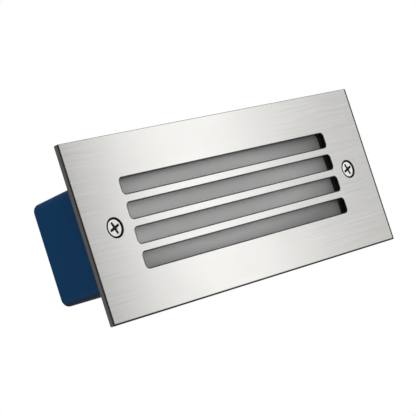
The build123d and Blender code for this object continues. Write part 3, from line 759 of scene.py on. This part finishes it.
class STEPLIGHT_OT_stage(Dressing):
    """Sets the floor, the soft lights and the camera"""

    bl_idname = "steplight.stage"
    bl_label = "Stage"

    def execute(self, context):
        made = settings("studio")
        self.floor(context, made)
        self.surround(context, made)
        self.camera(context, made)
        context.scene.view_settings.view_transform = "Standard"
        return {"FINISHED"}

    def floor(self, context, made):
        """A pale round floor: radius and angle on a polar grid, joined by quads."""
        rings = 12
        spokes = 97
        radii = np.linspace(0.01, made.floor_reach, rings)[:, None]
        around = np.linspace(0, TURN, spokes)
        level = np.full((rings, spokes), -made.floor_drop)
        points = np.stack([radii * np.cos(around), radii * np.sin(around), level], -1).reshape(-1, 3)
        first = np.arange(rings - 1)[:, None] * spokes + np.arange(spokes - 1)
        quads = np.stack([first, first + 1, first + spokes + 1, first + spokes], -1).reshape(-1, 4)
        mesh = bpy.data.meshes.new("floor")
        mesh.from_pydata(points.tolist(), [], quads.tolist())
        mesh.materials.append(self.floor_finish(made))
        ground = bpy.data.objects.new("floor", mesh)
        context.scene.collection.objects.link(ground)

    def floor_finish(self, made):
        """Pale and matt. To the camera, its rim fades into the white backdrop."""
        material, tree = new_finish("pale floor")
        cloud = grain(tree, 400.0)
        body = mixed(cloud, opaque(made.floor, 0.98), opaque(made.floor, 1.02))
        connect(material, body, scatter(cloud, 0.6, 0.8))
        out = vector("LENGTH", place(tree))
        rim = spread(out, 0.25 * made.floor_reach, 0.95 * made.floor_reach, soft=True)
        faded = times(rim, add(tree, "LightPath", output="Is Camera Ray"))
        pale = tree.nodes["Principled BSDF"].outputs[0]
        backdrop = add(tree, "Emission", {"Strength": 1.0})
        blend = add(tree, "MixShader", {0: faded, 1: pale, 2: backdrop})
        tree.links.new(blend, tree.nodes["Material Output"].inputs["Surface"])
        return material

    def surround(self, context, made):
        """White behind the light. For its rays the studio is dimmer, with soft lights on its walls."""
        world = bpy.data.worlds.new("studio")
        world.use_nodes = True
        tree = world.node_tree
        backdrop = tree.nodes["Background"]
        backdrop.inputs["Color"].default_value = (1.0, 1.0, 1.0, 1.0)
        outward = parts(add(tree, "TexCoord", output="Generated"))
        ahead = times(outward["Y"], -1.0)
        azimuth = calc("ARCTAN2", outward["X"], ahead)
        way = (azimuth, calc("ARCSINE", outward["Z"]))
        lights = (
            soft_light(way, made.key, made.key_azimuth, 4.0, width=6.3, height=65.0),
            soft_light(way, -made.flag, 38.2, 4.0, width=3.0, height=65.0),
            soft_light(way, made.side, 70.0, 8.0, width=34.0, height=70.0),
            soft_light(way, made.flank, 86.0, 15.0, width=34.0, height=60.0),
            soft_light(way, made.front, -12.0, 14.0, width=50.0, height=50.0),
            soft_light(way, made.fill, -95.0, 20.0, width=60.0, height=60.0),
            soft_light(way, made.top, 0.0, 90.0, width=360.0, height=55.0),
        )
        glow = made.surround
        for light in lights:
            glow = calc("ADD", light, glow)
        seen = add(tree, "LightPath", output="Is Camera Ray")
        tree.links.new(calc("MAXIMUM", glow, seen), backdrop.inputs["Strength"])
        context.scene.world = world

    def camera(self, context, made):
        data = bpy.data.cameras.new("camera")
        data.lens = made.lens
        data.sensor_width = 36.0
        camera = bpy.data.objects.new("camera", data)
        camera.location = made.place
        camera.rotation_euler = made.turn
        context.scene.collection.objects.link(camera)
        context.scene.camera = camera


# --- Operators: the pieces ---
class STEPLIGHT_OT_faceplate(Dressing):
    """Gives the slotted plate its brushed steel"""

    bl_idname = "steplight.faceplate"
    bl_label = "Faceplate"

    def execute(self, context):
        paint(brushed_steel(settings("faceplate")), "faceplate")
        return {"FINISHED"}


class STEPLIGHT_OT_cover_screws(Dressing):
    """Makes the two countersunk cover screws, with their cross recesses and threads"""

    bl_idname = "steplight.cover_screws"
    bl_label = "Cover screws"

    def execute(self, context):
        made = settings("screws")
        steel = plated("screw steel", made.bright, roughness=0.2, mottle=0.04, recess_shade_amount=0.35)
        finishes = [steel, moulded("recess shade", made.shade, wear=0.0)]
        for side in ("left", "right"):
            node = side + "_cover_screw"
            low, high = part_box(node)
            spots = [((low.x + high.x) / 2, (low.z + high.z) / 2)]
            points = self.shell(made, (high.x - low.x) / 2, low.y, high.y)
            numbers = recess_numbers(points)
            piece(node, "_threaded", points, spots, finishes, side + "_screw", numbers)
        return {"FINISHED"}

    def shell(self, made, head, top, tip):
        """A turned profile: recess, flat head with an eased rim, cone, neck, thread and blunt tip."""
        columns = 192
        shank = 2.4 * MM
        crest = 2.45 * MM
        ease = 0.08 * MM
        land = 0.3 * MM
        lead_in = 0.45 * MM
        blunt = 0.5 * MM
        recess, sunk = recess_rows(
            made.recess_arm, made.recess_width, made.recess_depth, made.recess_angle, columns
        )
        flat = np.linspace(recess[-1], np.full(columns, head - ease), 4)[1:]
        cone_end = top + land + head - shank
        thread_start = top + made.plain - lead_in
        return turned(
            (recess, top + sunk),
            (flat, top),
            even([head, head, shank, made.neck], [top + ease, top + land, cone_end, cone_end], columns),
            thread_rows(made.neck, crest, thread_start, tip - blunt, made.pitch, columns),
            even([made.neck - blunt], [tip], columns),
        )


class STEPLIGHT_OT_screw_seals(Dressing):
    """Gives the rings round the screw heads their rubber"""

    bl_idname = "steplight.screw_seals"
    bl_label = "Screw seals"

    def execute(self, context):
        black = rubber("ring rubber", settings("housing").ring, dust=0.0, gloss=0.08)
        paint(black, "left_screw_seal", "right_screw_seal")
        return {"FINISHED"}


class STEPLIGHT_OT_seals(Dressing):
    """Gives the gaskets behind the plate their rubber and foam"""

    bl_idname = "steplight.seals"
    bl_label = "Gaskets"

    def execute(self, context):
        made = settings("housing")
        paint(rubber("gasket rubber", made.rubber, dust=0.15), "rim_gasket", "lens_seal")
        paint(foam("wall foam", made.foam), "wall_seal")
        return {"FINISHED"}


class STEPLIGHT_OT_lens(Dressing):
    """Gives the lens its frosted glass and its frame black plastic"""

    bl_idname = "steplight.lens"
    bl_label = "Lens and frame"

    def execute(self, context):
        made = settings("housing")
        paint(frosted_glass(made), "lens")
        paint(moulded("black plastic", made.black, roughness=0.5), "lens_frame")
        return {"FINISHED"}


class STEPLIGHT_OT_lens_fixings(Dressing):
    """Makes the threaded studs and chamfered nuts that hold the lens, and finishes what lies under them"""

    bl_idname = "steplight.lens_fixings"
    bl_label = "Lens fixings"

    def execute(self, context):
        made = settings("screws")
        zinc = plated("zinc plate", made.zinc, roughness=0.34)
        paint(zinc, "lens_clamps", "clamp_washers")
        crest = 1.5 * MM
        play = 0.05 * MM
        flats = 5.5 * MM
        low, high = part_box("weld_studs")
        spots = corners(low, high, crest)
        points = self.stud(made.stud_pitch, crest, low.y, high.y)
        piece("weld_studs", "_threaded", points, spots, [zinc], "cover")
        low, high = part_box("clamp_nuts")
        points = self.nut(flats, crest + play, low.y, high.y)
        piece("clamp_nuts", "_chamfered", points, spots, [zinc], "cover", ring=True)
        nylon = moulded("natural nylon", settings("housing").nylon, roughness=0.45, pale=1.1)
        paint(nylon, "screw_retainers")
        return {"FINISHED"}

    def stud(self, pitch, crest, start, end):
        """A plain root welded to the plate, then a thread and a blunt end."""
        columns = 32
        root = crest - 0.61 * pitch
        plain_end = start + 1.9 * MM
        thread_start = start + 2.0 * MM
        blunt = 0.3 * MM
        return turned(
            even([root, root], [start, plain_end], columns),
            thread_rows(root, crest, thread_start, end - blunt, pitch, columns),
            even([root - blunt], [end], columns),
        )

    def nut(self, flats, bore, start, end):
        """A hexagon whose radius is half the flats over the cosine of the angle from the nearest flat,
        held inside a cone near each face, with a plain bore."""
        columns = 96
        rows = 7
        sixth = TURN / 6
        around = np.linspace(0, TURN, columns, endpoint=False)
        hexagon = flats / 2 / np.cos(np.mod(around, sixth) - sixth / 2)
        face_circle = 0.96 * flats / 2
        inset = np.linspace(0, 1, rows)[:, None]
        outer = np.minimum(hexagon, face_circle + inset * (hexagon.max() - face_circle))
        rise = inset * 0.16 * flats
        return turned(
            (outer, start + rise),
            (outer[::-1], end - rise[::-1]),
            even([bore, bore], [end, start], columns),
        )


class STEPLIGHT_OT_back_box(Dressing):
    """Gives the back box, its plug and its brass inserts their finishes"""

    bl_idname = "steplight.back_box"
    bl_label = "Back box"

    def execute(self, context):
        navy = settings("housing").navy
        # The box's underside is painted darker as shade, keeping a fifth of the navy.
        box = moulded(
            "navy plastic", navy, roughness=0.5, pores=0.6, pore_depth=0.018, wear=0.25, pale=1.5,
            gloss=0.10, under=0.2,
        )
        paint(box, "back_box")
        paint(moulded("navy plug", navy, roughness=0.5, pale=1.6, gloss=0.2), "conduit_plug")
        brass = plated("brass", settings("source").brass, roughness=0.28)
        paint(brass, "thread_inserts", "terminal_screws")
        return {"FINISHED"}


class STEPLIGHT_OT_reflector(Dressing):
    """Gives the reflector tray its enamel and its grommet rubber"""

    bl_idname = "steplight.reflector"
    bl_label = "Reflector tray"

    def execute(self, context):
        paint(enamelled("white enamel", settings("source").enamel), "reflector_tray")
        paint(rubber("grommet rubber", settings("housing").rubber), "tray_grommet")
        return {"FINISHED"}


class STEPLIGHT_OT_small_screws(Dressing):
    """Makes the pan-head screws of the tray, the board, the driver and the earth"""

    bl_idname = "steplight.small_screws"
    bl_label = "Pan-head screws"

    def execute(self, context):
        made = settings("screws")
        zinc = plated("plated screws", made.zinc, roughness=0.26)
        green = plated("green screw", made.green, roughness=0.36)
        dark = moulded("small recess shade", made.small_shade, wear=0.0)
        self.screws("tray_screws", 3.0 * MM, 1.3 * MM, [zinc, dark])
        self.screws("board_screws", 2.6 * MM, 1.45 * MM, [zinc, dark])
        self.screws("driver_screws", 2.6 * MM, 1.45 * MM, [zinc, dark], way=-1, every=3)
        self.screws("earth_screw", 2.6 * MM, 1.9 * MM, [green, dark], way=-1, every=4, slot="earth_green")
        return {"FINISHED"}

    def screws(self, node, head, shank, finishes, way=1, every=1, slot="zinc_steel"):
        """Screws at the corners of a node's box: at every corner, at every third one, which are two
        on a diagonal, or at every fourth, the first alone. Their way is 1 into the wall, -1 out."""
        low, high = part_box(node)
        spots = corners(low, high, head)[::every]
        points = self.shell(head, shank, high.y - low.y)
        top = low.y if way > 0 else high.y
        points[..., 1] = top + way * points[..., 1]
        piece(node, "_threaded", points, spots, finishes, "housing", recess_numbers(points))

    def shell(self, head, shank, reach):
        """A cross recess in a domed head, then a threaded shank. The dome is a quarter of an ellipse."""
        columns = 96
        height = 1.8 * MM
        root = 0.78 * shank
        pitch = 0.45 * shank
        thread_start = height + 0.05 * MM
        blunt = 0.3 * MM
        recess_turn = 0.4
        recess, sunk = recess_rows(0.56 * head, 0.24 * head, 0.62 * height, recess_turn, columns)
        brim = recess[-1]
        lift = np.linspace(0, TURN / 4, 7)[1:, None]
        return turned(
            (recess, sunk),
            (brim + (head - brim) * np.sin(lift), 0.75 * height * (1 - np.cos(lift))),
            even([head, root], [height, height], columns),
            thread_rows(root, shank, thread_start, reach - blunt, pitch, columns),
            even([0.55 * shank], [reach], columns),
        )


class STEPLIGHT_OT_light_board(Dressing):
    """Makes the chips with their sunk windows, and finishes the board and its connector"""

    bl_idname = "steplight.light_board"
    bl_label = "Light board"

    def execute(self, context):
        made = settings("source")
        paint(board_mask(made), "led_board")
        paint(moulded("connector plastic", made.white, roughness=0.45, pale=1.05), "board_connector")
        low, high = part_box("led_chips")
        middle = (low.x + high.x) / 2
        columns = np.arange(made.chip_columns) - (made.chip_columns - 1) / 2
        rows = (low.z + made.chip_height / 2, high.z - made.chip_height / 2)
        spots = [(middle + column * made.chip_pitch, z) for column in columns for z in rows]
        points = self.chip(made, low.y, high.y)
        window_rows = 2
        numbers = np.arange(len(points) - 1) >= len(points) - 1 - window_rows
        package = moulded("chip package", made.package, roughness=0.35, wear=0.0)
        finishes = [package, phosphor(made)]
        piece("led_chips", "_windowed", points, spots, finishes, "housing", numbers)
        return {"FINISHED"}

    def chip(self, made, front, back):
        """Rounded rectangles, each the reciprocal of a high-power sum of sine and cosine over the half
        sizes, carried from the chip's foot over its rim and down into its window."""
        columns = 40
        power = 10.0
        ease = 0.08 * MM
        lip = 0.32 * MM
        wall = 0.40 * MM
        window = 0.46 * MM
        crown = 0.3
        deep = 0.25 * (back - front)
        insets = np.array([0.0, 0.0, ease, lip, wall, window])
        half = np.array([[made.chip_length], [made.chip_height]]) / 2
        half_x, half_z = np.hstack([half - insets, crown * half])[:, :, None]
        depths = [back, front + ease, front, front, front + deep, front + deep, front + 0.8 * deep]
        around = np.linspace(0, TURN, columns, endpoint=False)
        across = np.abs(np.sin(around)) / half_x
        up = np.abs(np.cos(around)) / half_z
        return turned(((across**power + up**power) ** (-1 / power), np.array(depths)[:, None]))


class STEPLIGHT_OT_driver(Dressing):
    """Gives the driver its moulded case"""

    bl_idname = "steplight.driver"
    bl_label = "Driver"

    def execute(self, context):
        white = settings("source").white
        paint(moulded("driver plastic", white, roughness=0.48, pores=0.5, pale=1.05), "driver_case")
        return {"FINISHED"}


class STEPLIGHT_OT_terminals(Dressing):
    """Finishes the terminal block and the earth tongue"""

    bl_idname = "steplight.terminals"
    bl_label = "Terminals"

    def execute(self, context):
        made = settings("source")
        paint(moulded("terminal plastic", made.grey, roughness=0.45, pale=1.3), "terminal_block")
        paint(plated("tinned copper", made.tinned), "earth_lug")
        return {"FINISHED"}


class STEPLIGHT_OT_leads(Dressing):
    """Gives the leads inside the box their insulation"""

    bl_idname = "steplight.leads"
    bl_label = "Leads"

    def execute(self, context):
        made = settings("source")
        paint(insulation("black lead", made.live), "live_lead", "negative_lead")
        paint(insulation("white lead", made.neutral), "neutral_lead")
        paint(insulation("red lead", made.positive), "positive_lead")
        paint(insulation("earth lead", made.green, made.yellow), "earth_lead")
        return {"FINISHED"}


# --- Add-on ---
OPERATORS = Dressing.__subclasses__()


class STEPLIGHT_PT_dress(bpy.types.Panel):
    """Lists the operators that dress the step light, with their settings"""

    bl_idname = "STEPLIGHT_PT_dress"
    bl_label = "Step Light"
    bl_space_type = "VIEW_3D"
    bl_region_type = "UI"
    bl_category = "Step Light"

    def draw(self, context):
        for operator in OPERATORS:
            self.layout.operator(operator.bl_idname)
        for name, kind in SETTINGS:
            box = self.layout.box()
            box.label(text=name.title())
            for key in kind.__annotations__:
                box.prop(settings(name), key)


def register():
    for name, kind in SETTINGS:
        bpy.utils.register_class(kind)
        setattr(bpy.types.Scene, "steplight_" + name, PointerProperty(type=kind))
    for operator in OPERATORS:
        bpy.utils.register_class(operator)
    bpy.utils.register_class(STEPLIGHT_PT_dress)


def unregister():
    bpy.utils.unregister_class(STEPLIGHT_PT_dress)
    for operator in reversed(OPERATORS):
        bpy.utils.unregister_class(operator)
    for name, kind in reversed(SETTINGS):
        delattr(bpy.types.Scene, "steplight_" + name)
        bpy.utils.unregister_class(kind)


def main():
    """Dresses the light from the stage inwards."""
    register()
    dress = bpy.ops.steplight
    dress.stage()
    dress.faceplate()
    dress.cover_screws()
    dress.screw_seals()
    dress.seals()
    dress.lens()
    dress.lens_fixings()
    dress.back_box()
    dress.reflector()
    dress.small_screws()
    dress.light_board()
    dress.driver()
    dress.terminals()
    dress.leads()


if __name__ == "__main__":
    main()
